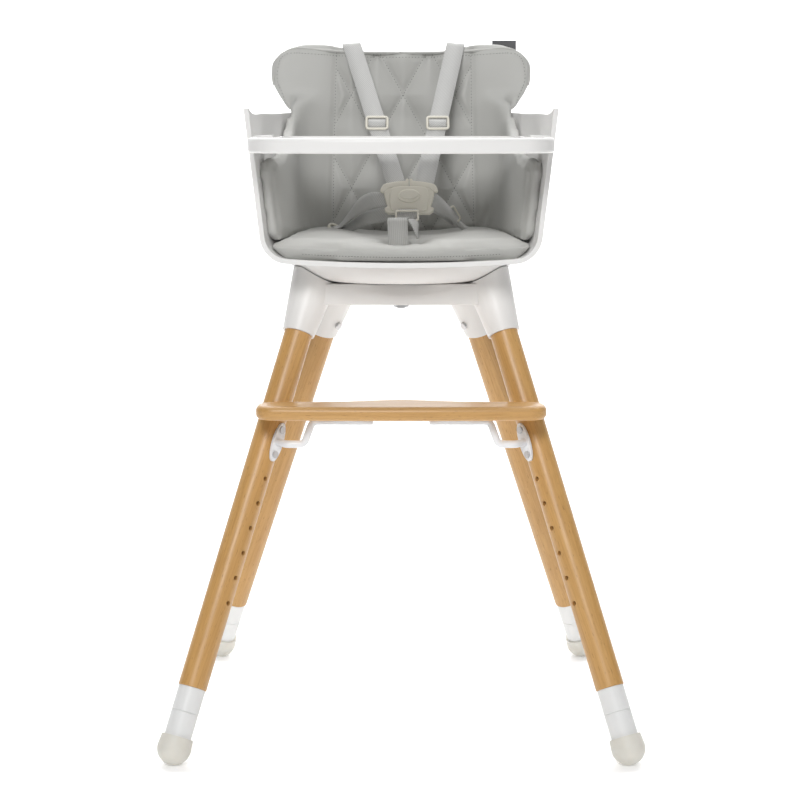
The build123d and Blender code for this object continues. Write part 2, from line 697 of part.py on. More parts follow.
# ---- tray ---------------------------------------------------------------------------------------
def tray_outline(inset, plane):
    """The tray's plan outline: a narrow neck between the arms, and a wide bowed table in front of them."""
    half = TRAY_HALF - inset
    neck = TRAY_NECK_HALF - inset
    front = TRAY_FRONT_Y + inset
    side_y = TRAY_SIDE_Y + inset
    with BuildSketch(plane) as outline:
        with BuildLine():
            ThreePointArc((-half, side_y), (0, front), (half, side_y))
            shoulder = TRAY_SHOULDER_Y - inset
            back = TRAY_BACK_Y - inset
            Polyline((half, side_y), (half, shoulder), (neck, shoulder), (neck, back),
                     (-neck, back), (-neck, shoulder), (-half, shoulder), (-half, side_y))
        make_face()
        ears = outline.vertices().filter_by(lambda v: abs(v.X) > half - 1).group_by(Axis.Y)[-1]
        fillet(ears, max(14 - inset, 3))
        fillet(outline.vertices().group_by(Axis.Y)[-1], max(30 - inset, 4))
        fillet(outline.vertices().group_by(Axis.Y)[0], TRAY_CORNER_R - inset)
    return outline.sketch


with BuildPart() as tray:
    extrude(tray_outline(0, Plane.XY.offset(TRAY_BOTTOM)), amount=TRAY_TOP - TRAY_BOTTOM)
    fillet(tray.faces().sort_by(Axis.Z)[-1].edges(), 5.0)
    fillet(tray.faces().sort_by(Axis.Z)[0].edges(), 4.0)
    extrude(tray_outline(11, Plane.XY.offset(TRAY_TOP - 11)), amount=20, mode=Mode.SUBTRACT)
    extrude(tray_outline(9, Plane.XY.offset(TRAY_BOTTOM - 1)), amount=6, mode=Mode.SUBTRACT)
    for side_name, side in SIDES:
        reach, low, high = TONGUE
        with BuildSketch(Plane.XY.offset(low + 0.4)):
            with Locations((side * (TRAY_NECK_HALF + reach / 2 - 1), (TRAY_SHOULDER_Y - 8 + TRAY_BACK_Y) / 2)):
                Rectangle(reach + 2, 54)
        extrude(amount=high - low - 0.8)
write(tray.part, "tray")

wall_space = tub_form(WALL + 0.02)
for side_name, side in SIDES:
    with BuildPart() as rail:
        with BuildSketch(Plane.XY.offset(TONGUE[1] - 8)):
            with Locations((side * (RAIL_HALF + 20), (RAIL_FRONT_Y + RAIL_BACK_Y) / 2)):
                Rectangle(40, RAIL_BACK_Y - RAIL_FRONT_Y)
        extrude(amount=TONGUE[2] - TONGUE[1] + 16)
        with BuildSketch(Plane.XY.offset(TONGUE[1])):
            with Locations((side * (RAIL_HALF + 2), (RAIL_FRONT_Y + RAIL_BACK_Y) / 2)):
                Rectangle(8, 80)
        extrude(amount=TONGUE[2] - TONGUE[1], mode=Mode.SUBTRACT)
        add(wall_space, mode=Mode.INTERSECT)
    write(rail.part, f"tray_rail_{side_name}")

# ---- footrest -----------------------------------------------------------------------------------
with BuildPart() as board:
    with BuildSketch(Plane.XY.offset(BOARD_TOP - BOARD_THICK)):
        with BuildLine():
            front = BOARD_FRONT_Y + 6
            ThreePointArc((-BOARD_HALF, front), (0, BOARD_FRONT_Y), (BOARD_HALF, front))
            Line((BOARD_HALF, front), (BOARD_HALF, BOARD_BACK_Y))
            Line((BOARD_HALF, BOARD_BACK_Y), (118, BOARD_BACK_Y))
            level = [(-1, 0), (-1, 0)]
            Spline((118, BOARD_BACK_Y), (0, BOARD_BACK_Y + 22), (-118, BOARD_BACK_Y), tangents=level)
            Line((-118, BOARD_BACK_Y), (-BOARD_HALF, BOARD_BACK_Y))
            Line((-BOARD_HALF, BOARD_BACK_Y), (-BOARD_HALF, front))
        make_face()
    extrude(amount=BOARD_THICK)
    fillet(board.edges().filter_by(Axis.Z).filter_by(lambda e: abs(e.center().X) > BOARD_HALF - 1), 24)
    fillet(board.faces().sort_by(Axis.Z)[-1].edges(), 7.0)
    fillet(board.faces().sort_by(Axis.Z)[0].edges(), 7.0)
write(board.part, "footrest_board")

for side_name, side in SIDES:
    line, length = LEGS[f"front_{side_name}"]
    station = HOLE_FIRST + (HOLE_COUNT - 1.5) * HOLE_PITCH
    face = across(line, station)
    long, short, thick = MOUNT_PLATE
    centre = face.origin + face.z_dir * (LEG_R + 0.3 + thick)
    under = BOARD_TOP - BOARD_THICK - 0.4
    bar_z = under - ROD_R
    elbow_near = (centre.X - side * 12, ROD_Y, centre.Z)
    elbow_low = (centre.X - side * 34, ROD_Y, centre.Z)
    elbow_high = (centre.X - side * 45, ROD_Y, bar_z)
    bar_end = (side * ROD_END, ROD_Y, bar_z)
    with BuildPart() as bracket:
        with BuildSketch(face.offset(LEG_R + 0.3)):
            Ellipse(long / 2, short / 2)
            with Locations((-HOLE_PITCH / 2, 0), (HOLE_PITCH / 2, 0)):
                Circle(2.4, mode=Mode.SUBTRACT)
        extrude(amount=thick)
        with BuildLine() as route:
            root = tuple(centre - face.z_dir * 1.5)
            FilletPolyline(root, elbow_near, elbow_low, elbow_high, bar_end, radius=9)
        with BuildSketch(Plane(origin=route.line @ 0, z_dir=route.line % 0)):
            Circle(ROD_R)
        sweep(path=route.line)
        with BuildSketch(Plane.XY.offset(under - 4.0)):
            with Locations((side * (ROD_END + 32), ROD_Y)):
                SlotOverall(44, 14)
        extrude(amount=4.0)
    write(bracket.part, f"footrest_bracket_{side_name}")
    with BuildPart() as plate_screws:
        with BuildSketch(face.offset(LEG_R + 0.35)):
            with Locations((-HOLE_PITCH / 2, 0), (HOLE_PITCH / 2, 0)):
                Circle(2.35)
        extrude(amount=thick)
        with BuildSketch(face.offset(LEG_R + 0.32 + thick)):
            with Locations((-HOLE_PITCH / 2, 0), (HOLE_PITCH / 2, 0)):
                Circle(4.6)
        extrude(amount=2.2)
    write(plate_screws.part, f"bracket_screws_{side_name}")
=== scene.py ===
"""Looks of the baby high chair: materials for the CAD parts, and its cushions, webbing and buckle."""

import json
import math

import bmesh
import bpy
import numpy as np
from mathutils import Matrix, Vector
from mathutils.bvhtree import BVHTree


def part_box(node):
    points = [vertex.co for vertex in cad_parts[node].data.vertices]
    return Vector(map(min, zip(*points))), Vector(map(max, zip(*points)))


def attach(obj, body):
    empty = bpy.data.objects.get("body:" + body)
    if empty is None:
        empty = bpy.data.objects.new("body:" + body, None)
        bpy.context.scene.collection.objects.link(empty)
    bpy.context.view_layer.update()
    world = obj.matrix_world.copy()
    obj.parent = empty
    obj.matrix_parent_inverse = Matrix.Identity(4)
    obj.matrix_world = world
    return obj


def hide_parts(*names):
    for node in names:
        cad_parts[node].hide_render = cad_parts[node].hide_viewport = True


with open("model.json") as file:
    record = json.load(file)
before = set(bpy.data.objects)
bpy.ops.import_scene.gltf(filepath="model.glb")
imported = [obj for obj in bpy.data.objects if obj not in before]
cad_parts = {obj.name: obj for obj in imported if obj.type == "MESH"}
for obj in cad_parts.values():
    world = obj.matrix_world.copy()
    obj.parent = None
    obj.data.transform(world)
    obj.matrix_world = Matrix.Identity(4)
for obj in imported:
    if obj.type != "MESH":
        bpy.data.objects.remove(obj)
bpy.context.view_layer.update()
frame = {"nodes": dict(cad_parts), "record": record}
nodes = frame["nodes"]
MM = 0.001

# ---- camera, floor and light ---------------------------------------------------------------------
EYE = Vector((-0.0015, -3.0, 0.8192))
PITCH_DOWN = 7.469
LENS = 100.2
SENSOR_WIDTH = 36.0
COVE_HALF_WIDTH = 9.0
COVE_FRONT = -9.0
COVE_BEND = 2.2
COVE_RADIUS = 1.5
COVE_BACK = 3.7
COVE_TOP = 6.0
COVE_COLOUR = (0.88, 0.88, 0.88)
COVE_GLOW = 0.24
SURROUND_STRENGTH = 0.08


def make_camera():
    """The long lens that looks slightly down on the chair from the front."""
    data = bpy.data.cameras.new("camera")
    data.lens = LENS
    data.sensor_width = SENSOR_WIDTH
    camera = bpy.data.objects.new("camera", data)
    camera.location = EYE
    camera.rotation_euler = (math.radians(90 - PITCH_DOWN), 0, 0)
    bpy.context.scene.collection.objects.link(camera)
    bpy.context.scene.camera = camera


def make_light(name, place, aim, size, power):
    """One large soft area light."""
    data = bpy.data.lights.new(name, "AREA")
    data.shape = "RECTANGLE"
    data.size, data.size_y = size
    data.energy = power
    lamp = bpy.data.objects.new(name, data)
    lamp.location = place
    lamp.rotation_euler = (Vector(aim) - Vector(place)).to_track_quat("-Z", "Y").to_euler()
    bpy.context.scene.collection.objects.link(lamp)


def make_studio():
    """A white cove that glows a little, a dim surround and four soft lights."""
    world = bpy.data.worlds.new("studio")
    world.use_nodes = True
    back = world.node_tree.nodes["Background"]
    back.inputs["Color"].default_value = (1.0, 1.0, 1.0, 1)
    back.inputs["Strength"].default_value = SURROUND_STRENGTH
    bpy.context.scene.world = world
    bpy.context.scene.view_settings.view_transform = "Standard"
    profile = [(COVE_FRONT, 0.0), (COVE_BEND, 0.0)]
    for turn in np.linspace(0.1, 1.57, 14):
        profile.append((COVE_BEND + COVE_RADIUS * math.sin(turn), COVE_RADIUS - COVE_RADIUS * math.cos(turn)))
    profile.append((COVE_BACK, COVE_TOP))
    build = bmesh.new()
    rows = []
    for y, z in profile:
        rows.append([build.verts.new((x, y, z)) for x in (-COVE_HALF_WIDTH, COVE_HALF_WIDTH)])
    for one, two in zip(rows, rows[1:]):
        build.faces.new((one[0], one[1], two[1], two[0]))
    cove_white = plain_material("cove_white", COVE_COLOUR, 0.6)
    shader = cove_white.node_tree.nodes["Principled BSDF"]
    shader.inputs["Emission Color"].default_value = (1, 1, 1, 1)
    shader.inputs["Emission Strength"].default_value = COVE_GLOW
    cove = finished("cove", build, cove_white)
    make_light("key", (-0.4, -3.0, 2.3), (0, 0, 0.7), (1.0, 1.0), 64)
    make_light("fill", (2.2, -2.4, 1.4), (0, 0, 0.6), (1.2, 1.6), 5)
    make_light("top", (0.1, -0.3, 3.2), (0, 0, 0.7), (2.0, 2.0), 24)
    make_light("backdrop", (0, 1.5, 3.4), (0, 3.7, 0.6), (4.0, 1.0), 200)


# ---- materials -----------------------------------------------------------------------------------
# A mix node's colour sockets share their names with its number sockets, so they go by their index.
MIX_FIRST, MIX_SECOND, MIX_OUT = 6, 7, 2
# A wave texture at scale 1 has a rib every 0.314 units of its space.
WAVE_PITCH = 0.314


class Finish:
    """A node material in the making: its shader, and short ways to add and join nodes."""

    def __init__(self, name):
        self.material = bpy.data.materials.new(name)
        self.material.use_nodes = True
        self.tree = self.material.node_tree
        self.shader = self.tree.nodes["Principled BSDF"]

    def add(self, kind, links=None, **values):
        """A new node with these settings, its sockets linked to other sockets or set to values."""
        node = self.tree.nodes.new(kind)
        for key, value in values.items():
            setattr(node, key, value)
        for socket, source in (links or {}).items():
            if isinstance(source, bpy.types.NodeSocket):
                self.tree.links.new(source, node.inputs[socket])
            else:
                node.inputs[socket].default_value = source
        return node

    def join(self, source, socket):
        """Links an output to one of the shader's inputs."""
        self.tree.links.new(source, self.shader.inputs[socket])

    def settings(self, values):
        """Sets the shader's own inputs."""
        for socket, value in values.items():
            self.shader.inputs[socket].default_value = value

    def space(self, kind="Object"):
        """The coordinates that textures are laid in."""
        return self.add("ShaderNodeTexCoord").outputs[kind]

    def mapped(self, space, **values):
        """Coordinates turned or stretched."""
        links = {"Vector": space, **{key.title(): value for key, value in values.items()}}
        return self.add("ShaderNodeMapping", links).outputs["Vector"]

    def noise(self, space, scale, detail, **more):
        """A noise over the coordinates."""
        links = {"Scale": scale, "Detail": detail, **{key.title(): value for key, value in more.items()}}
        if space is not None:
            links["Vector"] = space
        return self.add("ShaderNodeTexNoise", links).outputs["Fac"]

    def spread(self, source, low, high, start=0.0, stop=1.0):
        """A value stretched from start and stop to low and high."""
        links = {"Value": source, "From Min": start, "From Max": stop, "To Min": low, "To Max": high}
        return self.add("ShaderNodeMapRange", links).outputs["Result"]

    def mix(self, factor, first, second):
        """A colour between two colours or colour sockets."""
        links = {"Factor": factor, MIX_FIRST: first, MIX_SECOND: second}
        return self.add("ShaderNodeMix", links, data_type="RGBA").outputs[MIX_OUT]

    def bump(self, height, strength, distance, **more):
        """Joins a fine relief to the shader."""
        links = {"Height": height, "Strength": strength, "Distance": distance}
        links.update({key.title(): value for key, value in more.items()})
        self.join(self.add("ShaderNodeBump", links).outputs["Normal"], "Normal")


def plain_material(name, colour, roughness):
    """A plain colour with a slightly mottled gloss, for the cove and the thread."""
    finish = Finish(name)
    finish.settings({"Base Color": (*colour, 1)})
    grain = finish.noise(None, 6.0, 3.0)
    finish.join(finish.spread(grain, roughness - 0.05, roughness + 0.05), "Roughness")
    return finish.material


def moulded_plastic(name, colour, roughness, grain=0.0002, warm=0.012):
    """Injection-moulded plastic: a very fine pebble, and a slow drift of tone and gloss."""
    finish = Finish(name)
    space = finish.space()
    drift = finish.noise(space, 7.0, 3.0)
    pale = (*[c * (1 + warm) for c in colour], 1)
    deep = (colour[0] * (1 - warm), colour[1] * (1 - 1.3 * warm), colour[2] * (1 - 1.8 * warm), 1)
    finish.join(finish.mix(drift, pale, deep), "Base Color")
    finish.join(finish.spread(drift, roughness - 0.05, roughness + 0.06), "Roughness")
    soft_edge = finish.add("ShaderNodeBevel", {"Radius": 0.0009}, samples=6)
    finish.bump(finish.noise(space, 1400.0, 2.0), 0.12, grain, normal=soft_edge.outputs["Normal"])
    finish.settings({"Specular IOR Level": 0.45})
    return finish.material


def beech(name, along, painted_shade_scale=1.0):
    """Clear-lacquered beech: long fine fibres, short dark rays and slow bands, all along one direction."""
    finish = Finish(name)
    turn = Vector(along).to_track_quat("Z", "Y").inverted().to_euler()
    grain_space = finish.mapped(finish.space(), rotation=turn)
    fibre = finish.noise(finish.mapped(grain_space, scale=(420.0, 420.0, 9.0)), 1.0, 4.0, roughness=0.6)
    ray = finish.noise(finish.mapped(grain_space, scale=(900.0, 900.0, 110.0)), 1.0, 1.0)
    band_value = finish.noise(finish.mapped(grain_space, scale=(46.0, 46.0, 2.2)), 1.0, 3.0, distortion=0.6)
    bands = finish.add("ShaderNodeValToRGB", {"Fac": band_value})
    # Every colour is scaled by painted_shade_scale. Below 1 this paints shade into the wood, as on the rear
    # legs.
    light = (0.62 * painted_shade_scale, 0.365 * painted_shade_scale, 0.135 * painted_shade_scale, 1)
    mid = (0.545 * painted_shade_scale, 0.305 * painted_shade_scale, 0.100 * painted_shade_scale, 1)
    dark = (0.40 * painted_shade_scale, 0.205 * painted_shade_scale, 0.060 * painted_shade_scale, 1)
    darkest = (dark[0] * 0.62, dark[1] * 0.58, dark[2] * 0.55, 1)
    bands.color_ramp.elements[0].position = 0.34
    bands.color_ramp.elements[0].color = mid
    bands.color_ramp.elements[1].position = 0.66
    bands.color_ramp.elements[1].color = light
    streaked = finish.mix(finish.spread(fibre, 0.0, 0.5, 0.42, 0.72), bands.outputs["Color"], dark)
    flecked = finish.mix(finish.spread(ray, 0.0, 0.55, 0.66, 0.74), streaked, darkest)
    finish.join(flecked, "Base Color")
    finish.join(finish.spread(fibre, 0.34, 0.5), "Roughness")
    finish.bump(fibre, 0.18, 0.0003)
    finish.settings({"Coat Weight": 0.18, "Coat Roughness": 0.3})
    return finish.material


def silicone(name):
    """Cloudy off-white silicone that lets a little light in."""
    finish = Finish(name)
    space = finish.space()
    cloud = finish.noise(space, 60.0, 3.0)
    finish.join(finish.mix(cloud, (0.74, 0.72, 0.66, 1), (0.66, 0.64, 0.58, 1)), "Base Color")
    finish.join(finish.spread(cloud, 0.42, 0.56), "Roughness")
    finish.bump(finish.noise(space, 700.0, 2.0), 0.15, 0.0003)
    finish.settings({"Subsurface Weight": 0.25, "Subsurface Radius": (0.006, 0.005, 0.004)})
    return finish.material


def metal(name, colour, roughness):
    """Plated or turned metal with fine turning marks."""
    finish = Finish(name)
    marks = finish.noise(finish.space(), 900.0, 3.0)
    finish.join(finish.spread(marks, roughness - 0.08, roughness + 0.1), "Roughness")
    finish.bump(marks, 0.1, 0.0001)
    finish.settings({"Base Color": (*colour, 1), "Metallic": 1.0})
    return finish.material


def coated_fabric(name):
    """The cushions' matt coated fabric: a fine leather-like grain, faint mottling and a soft sheen."""
    finish = Finish(name)
    space = finish.space()
    cells = finish.add("ShaderNodeTexVoronoi", {"Vector": space, "Scale": 900.0}).outputs["Distance"]
    fine = finish.noise(space, 2600.0, 2.0)
    slow = finish.noise(space, 9.0, 3.0)
    finish.join(finish.mix(slow, (0.485, 0.485, 0.465, 1), (0.445, 0.445, 0.425, 1)), "Base Color")
    finish.join(finish.spread(slow, 0.5, 0.62), "Roughness")
    grain = finish.add("ShaderNodeMath", {0: cells, 1: fine}, operation="ADD").outputs["Value"]
    finish.bump(grain, 0.16, 0.00025)
    finish.settings({"Sheen Weight": 0.12, "Sheen Roughness": 0.5, "Specular IOR Level": 0.4})
    return finish.material


def webbing_cloth(name, pale, deep, pitch=0.0021, turn=52):
    """Woven webbing: diagonal twill ribs that run over the strap's own length and width."""
    finish = Finish(name)
    space = finish.space("UV")
    ribs = finish.mapped(space, rotation=(0, 0, math.radians(turn)))
    wave_links = {"Vector": ribs, "Scale": WAVE_PITCH / pitch, "Distortion": 0.25, "Detail": 1.0}
    wave = finish.add("ShaderNodeTexWave", wave_links).outputs["Fac"]
    threads = finish.noise(space, 2200.0, 1.0)
    both = finish.add("ShaderNodeMath", {0: wave, 1: threads}, operation="MULTIPLY").outputs["Value"]
    finish.join(finish.mix(both, (*deep, 1), (*pale, 1)), "Base Color")
    finish.bump(both, 0.6, 0.0005)
    finish.join(finish.spread(threads, 0.62, 0.8), "Roughness")
    finish.settings({"Sheen Weight": 0.25})
    return finish.material


# ---- building blocks -----------------------------------------------------------------------------
CLOTH_STEPS = 20
EDGE_TURN = 0.9
SHARP_TURN = 50
# The webbing's rounded section: shares of its width across and of its half thickness out.
WEB_SECTION = ((0.012, 1.0), (0.25, 1.05), (0.5, 1.08), (0.75, 1.05), (0.988, 1.0), (1.0, 0.0),
               (0.988, -1.0), (0.5, -1.0), (0.012, -1.0), (0.0, 0.0))


def add_object(name, mesh, material):
    """Puts a mesh in the scene with one material and smooth faces."""
    piece = bpy.data.objects.new(name, mesh)
    bpy.context.scene.collection.objects.link(piece)
    mesh.materials.clear()
    mesh.materials.append(material)
    mesh.polygons.foreach_set("use_smooth", [True] * len(mesh.polygons))
    return piece


def evaluated(piece):
    """A new mesh of the piece with its modifiers applied."""
    graph = bpy.context.evaluated_depsgraph_get()
    graph.update()
    return bpy.data.meshes.new_from_object(piece.evaluated_get(graph), depsgraph=graph)


def read_points(mesh):
    """The mesh's vertices and their normals as arrays."""
    points = np.empty(len(mesh.vertices) * 3)
    mesh.vertices.foreach_get("co", points)
    normals = np.empty(len(mesh.vertices) * 3)
    mesh.vertices.foreach_get("normal", normals)
    return points.reshape(-1, 3), normals.reshape(-1, 3)


def write_points(mesh, points):
    """Moves the mesh's vertices."""
    mesh.vertices.foreach_set("co", np.asarray(points, dtype=np.float64).ravel())
    mesh.update()


def with_modifier(mesh, kind, **settings):
    """The mesh after one modifier."""
    helper = bpy.data.objects.new("helper", mesh)
    bpy.context.scene.collection.objects.link(helper)
    modifier = helper.modifiers.new(kind, kind)
    for key, value in settings.items():
        setattr(modifier, key, value)
    result = evaluated(helper)
    bpy.data.objects.remove(helper)
    return result


def puffed(mesh, cap, pressure):
    """The mesh after a short cloth run that swells it outwards, no point moving further than the cap."""
    before, normals = read_points(mesh)
    helper = bpy.data.objects.new("cloth_helper", mesh)
    bpy.context.scene.collection.objects.link(helper)
    cloth = helper.modifiers.new("Cloth", "CLOTH")
    cloth.settings.quality = 5
    cloth.settings.mass = 0.25
    cloth.settings.tension_stiffness = 25
    cloth.settings.compression_stiffness = 25
    cloth.settings.bending_stiffness = 0.6
    cloth.settings.use_pressure = True
    cloth.settings.uniform_pressure_force = pressure
    cloth.settings.effector_weights.gravity = 0
    scene = bpy.context.scene
    scene.frame_start = 1
    scene.frame_end = CLOTH_STEPS
    for step in range(1, CLOTH_STEPS + 1):
        scene.frame_set(step)
    after, _ = read_points(evaluated(helper))
    bpy.data.objects.remove(helper)
    scene.frame_set(1)
    swell = np.clip(((after - before) * normals).sum(axis=1), 0, cap)
    write_points(mesh, before + normals * swell[:, None])
    return mesh


def soft_form(node, voxel, start_in, cap, rounding, pressure=4.0):
    """A soft piece's body: its CAD solid remeshed, rounded, drawn in a little and puffed up again."""
    mesh = nodes[node].data.copy()
    mesh = with_modifier(mesh, "REMESH", mode="VOXEL", voxel_size=voxel, use_smooth_shade=True)
    mesh = with_modifier(mesh, "SMOOTH", factor=0.5, iterations=rounding)
    points, normals = read_points(mesh)
    write_points(mesh, points - normals * start_in)
    mesh = puffed(mesh, cap, pressure)
    mesh = with_modifier(mesh, "SUBSURF", levels=1)
    return mesh


def near_lines(points, lines):
    """The distance from each (x, z) point to the nearest of several polylines."""
    best = np.full(len(points), 1.0)
    for line in lines:
        for start, stop in zip(line, line[1:]):
            a = np.array(start)
            run = np.array(stop) - a
            along = np.clip((points - a) @ run / (run @ run), 0, 1)
            gap = np.linalg.norm(points - a - along[:, None] * run, axis=1)
            best = np.minimum(best, gap)
    return best


def smooth_path(knots, step):
    """Points on a smooth curve through the knots, a step apart, or with a given count for each span."""
    knots = [Vector(k) for k in knots]
    ends = [2 * knots[0] - knots[1]] + knots + [2 * knots[-1] - knots[-2]]
    path = []
    for i in range(1, len(ends) - 2):
        p0, p1, p2, p3 = ends[i - 1:i + 3]
        count = step[i - 1] if isinstance(step, list) else max(2, round((p2 - p1).length / step))
        for k in range(count):
            t = k / count
            path.append(0.5 * (2 * p1 + (p2 - p0) * t + (2 * p0 - 5 * p1 + 4 * p2 - p3) * t * t
                               + (3 * p1 - p0 - 3 * p2 + p3) * t ** 3))
    path.append(knots[-1])
    return path


def band(name, pairs, material, thick=1.5, step=2.0 * MM):
    """Flat webbing between two smooth edges, given as pairs of edge points in millimetres."""
    first = [Vector(a) * MM for a, _ in pairs]
    second = [Vector(b) * MM for _, b in pairs]
    counts = [max(2, round(((b - a).length + (d - c).length) / 2 / step))
              for a, b, c, d in zip(first, first[1:], second, second[1:])]
    left, right = smooth_path(first, counts), smooth_path(second, counts)
    build = bmesh.new()
    uv = build.loops.layers.uv.new("UVMap")
    half = thick * MM / 2
    rings = []
    lengths = [0.0]
    for i, (a, b) in enumerate(zip(left, right)):
        here = (a + b) / 2
        low, high = max(i - 1, 0), min(i + 1, len(left) - 1)
        tangent = (left[high] + right[high] - left[low] - right[low]).normalized()
        face = tangent.cross(b - a).normalized()
        rings.append([build.verts.new(a.lerp(b, u) + face * (v * half)) for u, v in WEB_SECTION])
        if i:
            lengths.append(lengths[-1] + (here - (left[i - 1] + right[i - 1]) / 2).length)
    count = len(WEB_SECTION)
    width = (right[0] - left[0]).length
    for i in range(len(rings) - 1):
        for k in range(count):
            after = (k + 1) % count
            quad = build.faces.new((rings[i][k], rings[i][after], rings[i + 1][after], rings[i + 1][k]))
            for loop, (ring, side) in zip(quad.loops, ((i, k), (i, after), (i + 1, after), (i + 1, k))):
                loop[uv].uv = (WEB_SECTION[side][0] * width, lengths[ring])
    build.faces.new(list(reversed(rings[0])))
    build.faces.new(rings[-1])
    return finished(name, build, material)


def finished(name, build, material):
    """An object from a finished bmesh, its normals outward."""
    bmesh.ops.recalc_face_normals(build, faces=build.faces)
    mesh = bpy.data.meshes.new(name)
    build.to_mesh(mesh)
    build.free()
    return add_object(name, mesh, material)


def tube(name, path, material, wide, deep=None, closed=False, out=(0, -1, 0), sides=10):
    """A round or oval bar along points in metres; wide and deep are its half sizes in metres."""
    deep = deep or wide
    build = bmesh.new()
    rings = []
    for i, point in enumerate(path):
        if closed:
            before, after = path[i - 1], path[(i + 1) % len(path)]
        else:
            before, after = path[max(i - 1, 0)], path[min(i + 1, len(path) - 1)]
        tangent = (after - before).normalized()
        side = tangent.cross(Vector(out)).normalized()
        up = side.cross(tangent)
        ring = []
        for k in range(sides):
            turn = 2 * math.pi * k / sides
            spot = point + side * (wide * math.cos(turn)) + up * (deep * math.sin(turn))
            ring.append(build.verts.new(spot))
        rings.append(ring)
    pairs = list(zip(rings, rings[1:])) + ([(rings[-1], rings[0])] if closed else [])
    for one, two in pairs:
        for k in range(sides):
            after = (k + 1) % sides
            build.faces.new((one[k], one[after], two[after], two[k]))
    if not closed:
        build.faces.new(list(reversed(rings[0])))
        build.faces.new(rings[-1])
    return finished(name, build, material)


class Place:
    """A flat working plane: an origin, a direction u across, v up and w out of it, all in the row frame."""

    def __init__(self, origin, across, out):
        self.origin = Vector(origin) * MM
        self.w = Vector(out).normalized()
        self.u = (Vector(across) - self.w * Vector(across).dot(self.w)).normalized()
        self.v = self.w.cross(self.u)

    def at(self, u, v, w=0.0):
        """The point u, v, w millimetres from the origin."""
        return self.origin + (self.u * u + self.v * v + self.w * w) * MM


def plate(name, place, outline, low, high, rounding, material):
    """A flat moulded piece: an outline in a plane, between two heights, with rounded edges."""
    build = bmesh.new()
    bottom = [build.verts.new(place.at(u, v, low)) for u, v in outline]
    top = [build.verts.new(place.at(u, v, high)) for u, v in outline]
    build.faces.new(list(reversed(bottom)))
    build.faces.new(top)
    count = len(outline)
    for k in range(count):
        after = (k + 1) % count
        build.faces.new((bottom[k], bottom[after], top[after], top[k]))
    bmesh.ops.recalc_face_normals(build, faces=build.faces)
    rims = [e for e in build.edges if e.calc_face_angle(0) > EDGE_TURN]
    bmesh.ops.bevel(build, geom=rims, offset=rounding * MM, segments=3, profile=0.5, affect="EDGES",
                    clamp_overlap=True)
    piece = finished(name, build, material)
    piece.data.set_sharp_from_angle(angle=math.radians(SHARP_TURN))
    return piece


def ellipse(centre, half, count=40):
    """Points round an ellipse."""
    turns = [2 * math.pi * k / count for k in range(count)]
    return [(centre[0] + half[0] * math.cos(t), centre[1] + half[1] * math.sin(t)) for t in turns]


def rounded_box(half_u, half_v, corner, count=6):
    """Points round a rectangle with rounded corners."""
    points = []
    for index, (su, sv) in enumerate(((1, 1), (-1, 1), (-1, -1), (1, -1))):
        for k in range(count + 1):
            turn = math.radians(90 * (index + k / count))
            points.append((su * (half_u - corner) + corner * math.cos(turn),
                           sv * (half_v - corner) + corner * math.sin(turn)))
    return points


def ring_frame(name, place, half_u, half_v, corner, bar, material, lift=0.0):
    """A slim rounded rectangular frame, such as a strap slider's."""
    path = [place.at(u, v, lift) for u, v in rounded_box(half_u - bar / 2, half_v - bar / 2, corner)]
    return tube(name, path, material, bar * MM / 2, bar * MM / 2.2, closed=True, out=place.w)


# ---- cushions ------------------------------------------------------------------------------------
QUILT_CENTRE = (0.0027, 0.837)
QUILT_SLOPE = 0.56
QUILT_PITCH = 0.071
PANEL_LEFT = ((-0.0884, 0.900), (-0.0921, 0.762), (-0.0935, 0.655))
PANEL_RIGHT = ((0.0957, 0.900), (0.0976, 0.762), (0.1004, 0.652))
PANEL_BOTTOM = 0.652
PANEL_TOP = 0.897
HEAD_OUTLINE = ((0, 896.5), (60, 897.5), (110, 900.5), (148, 902.5), (166, 897.5), (175, 884), (178.5, 863),
                (176.5, 850), (171.5, 838), (167, 826), (165.5, 815))
RAY_START = -0.30
LEAST_FACING = 0.12
THREAD_HALF = 0.0005
STITCH_INSET = 8.5
WELT_INSET = 2.6
WELT_SINK = 0.0006
WELT_HALF = 0.0019
PAD_STITCH_HEIGHT = 0.6300
PAD_STITCH_BOW = 4.9
PAD_STITCH_REACH = 0.128
# Where the head's lobes are drawn in to the waist, and by how much of what lies beyond the reach.
WAIST_TOP = 0.852
WAIST_LOW = 0.806
WAIST_FADE = 0.038
WAIST_REACH = 0.148
WAIST_DRAW = 0.7
# The quilting's channels: depth and width of the stitch's own groove, and of the pull round it.
GROOVE = (0.0026, 0.0040)
PULL = (0.0028, 0.014)
PUFF = (0.0038, 0.018)


def panel_edge(line, height):
    """Where a panel's side seam is at one height or several."""
    heights = [p[1] for p in reversed(line)]
    return np.interp(height, heights, [p[0] for p in reversed(line)])


def quilt_lines():
    """The crossing rows of stitching that divide the middle panel into diamonds."""
    lines = []
    for lean in (-1, 1):
        for k in range(-3, 4):
            inside = []
            for height in np.linspace(PANEL_BOTTOM, PANEL_TOP, 60):
                x = QUILT_CENTRE[0] + k * QUILT_PITCH + lean * QUILT_SLOPE * (height - QUILT_CENTRE[1])
                if panel_edge(PANEL_LEFT, height) < x < panel_edge(PANEL_RIGHT, height):
                    inside.append((x, float(height)))
            if len(inside) > 1:
                lines.append((inside[0], inside[-1]))
    return lines


def dropped(tree, x, z):
    """The first point and normal that a level ray from the front meets at (x, z), or nothing."""
    place, normal, _, _ = tree.ray_cast(Vector((x, RAY_START, z)), Vector((0, 1, 0)))
    if place is None or abs(normal.y) < LEAST_FACING:
        return None
    return place, (normal if normal.y < 0 else -normal)


